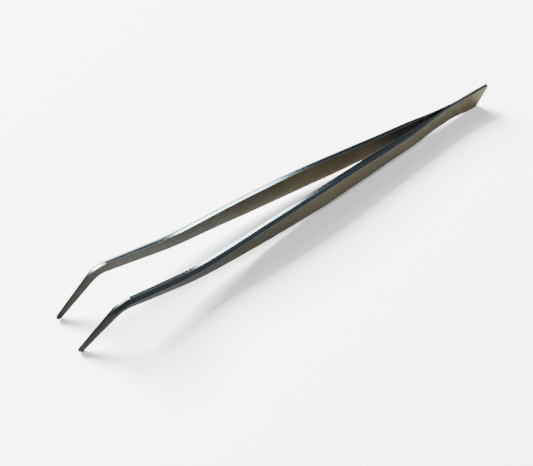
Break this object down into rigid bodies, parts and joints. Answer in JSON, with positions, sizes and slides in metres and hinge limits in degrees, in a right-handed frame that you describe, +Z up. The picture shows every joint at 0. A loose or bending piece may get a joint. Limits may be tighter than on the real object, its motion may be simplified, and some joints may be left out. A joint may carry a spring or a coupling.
{
  "type": "bent-tip precision tweezers",
  "caption": "Long slim stainless tweezers with bent fine tips, bevelled spring arms joined at a slanted tail, for handling small parts.",
  "frame": {"origin": "bottom centre of the tweezers as they lie on a table, standing on the tail's lower edge and both tips", "axes": "+X from the tips towards the joined tail, +Y from the left arm to the right arm across the opening, +Z up, along the height of the strips"},
  "size_m": [0.1456, 0.0162, 0.0135],
  "materials": {
    "strip_steel": "satin ground faces, polished edges",
    "weld_steel": "heat-tinted spot weld"
  },
  "bodies": {
    "tail": {"left_tail_leaf": "strip_steel", "right_tail_leaf": "strip_steel", "weld_nuggets": "weld_steel"},
    "left_jaw": {"left_arm": "strip_steel"},
    "right_jaw": {"right_arm": "strip_steel"}
  },
  "joints": [
    {"name": "left_flexure", "type": "hinge", "parent": "tail", "child": "left_jaw", "pos_m": [0.0572, -0.00049, 0.00414], "axis": [-0.0276, 0, -0.9996], "range_deg": [0, 2.61], "stiffness_Nm_per_rad": 1.6},
    {"name": "right_flexure", "type": "hinge", "parent": "tail", "child": "right_jaw", "pos_m": [0.0572, 0.00049, 0.00414], "axis": [0.0276, 0, 0.9996], "range_deg": [0, 2.61], "stiffness_Nm_per_rad": 1.6}
  ],
  "couplings": [
    {"joint": "right_flexure", "follows": "left_flexure", "ratio": 1}
  ]
}
